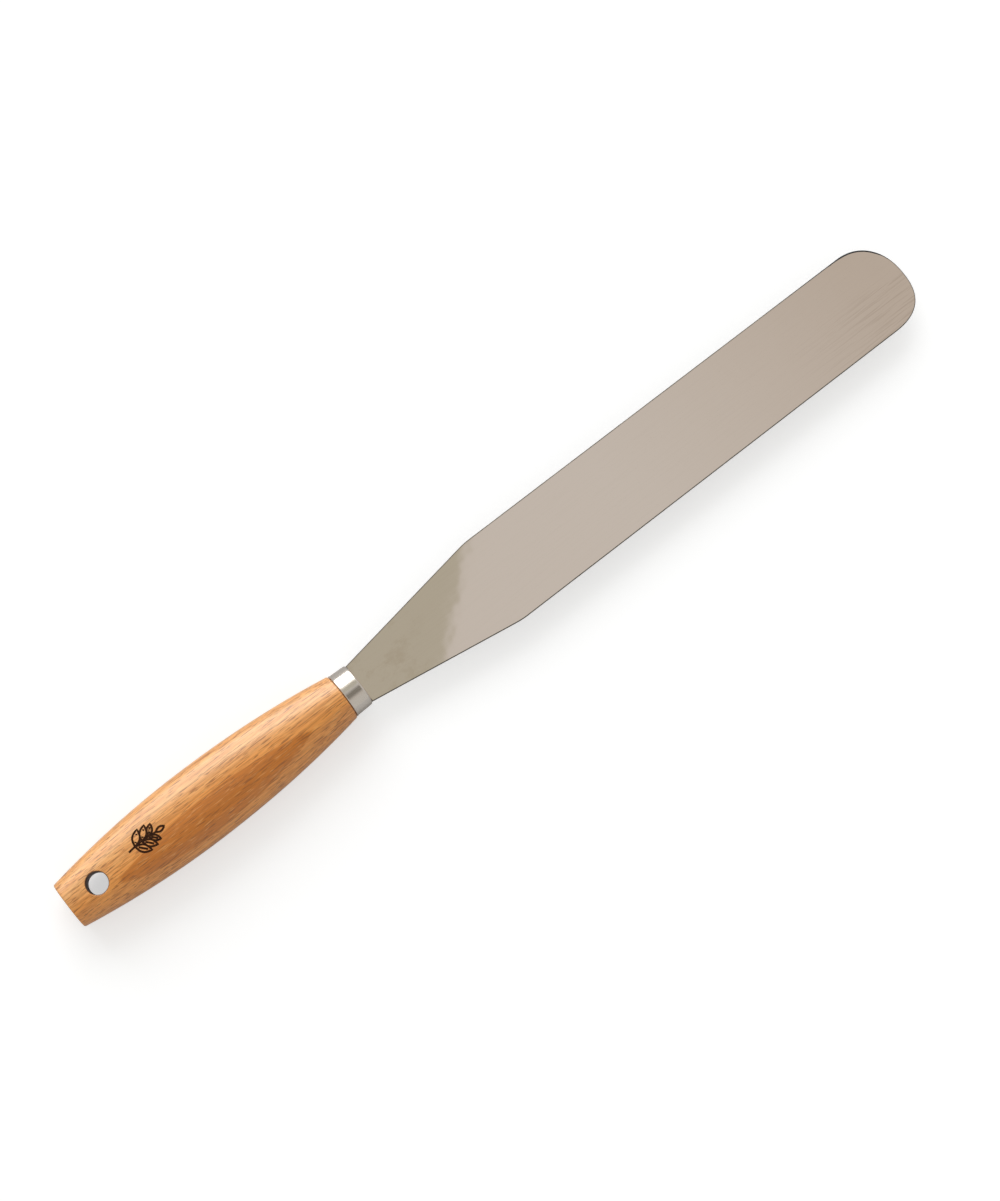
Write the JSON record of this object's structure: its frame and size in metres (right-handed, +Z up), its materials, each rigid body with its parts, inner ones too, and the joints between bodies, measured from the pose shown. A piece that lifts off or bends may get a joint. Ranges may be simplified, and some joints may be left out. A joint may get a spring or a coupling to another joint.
{
  "type": "palette knife",
  "caption": "Long springy steel palette knife with parallel edges, a rounded tip and a turned beech handle with a hanging hole.",
  "frame": {"origin": "centre of the knife's box, on the surface that the thickest part of the handle rests on", "axes": "+X along the knife to the blade's tip, +Y across the blade, +Z up, square to the blade's broad faces"},
  "size_m": [0.3808, 0.0348, 0.0184],
  "materials": {
    "beech": "satin lacquered beech, fine lengthwise grain",
    "ferrule_metal": "satin, drawn and lightly polished",
    "blade_steel": "satin polished spring steel, fine lengthwise scratches",
    "cement": "set epoxy cement, matt"
  },
  "bodies": {
    "handle": {"handle": "beech", "ferrule": "ferrule_metal", "tang_cement": "cement", "tang": "blade_steel"},
    "blade": {"blade": "blade_steel"}
  },
  "joints": [
    {"name": "blade_flex", "type": "hinge", "parent": "handle", "child": "blade", "pos_m": [-0.0633, 0, 0.0092], "axis": [0, -1, 0], "range_deg": [-1.9, 20], "stiffness_Nm_per_rad": 5}
  ]
}
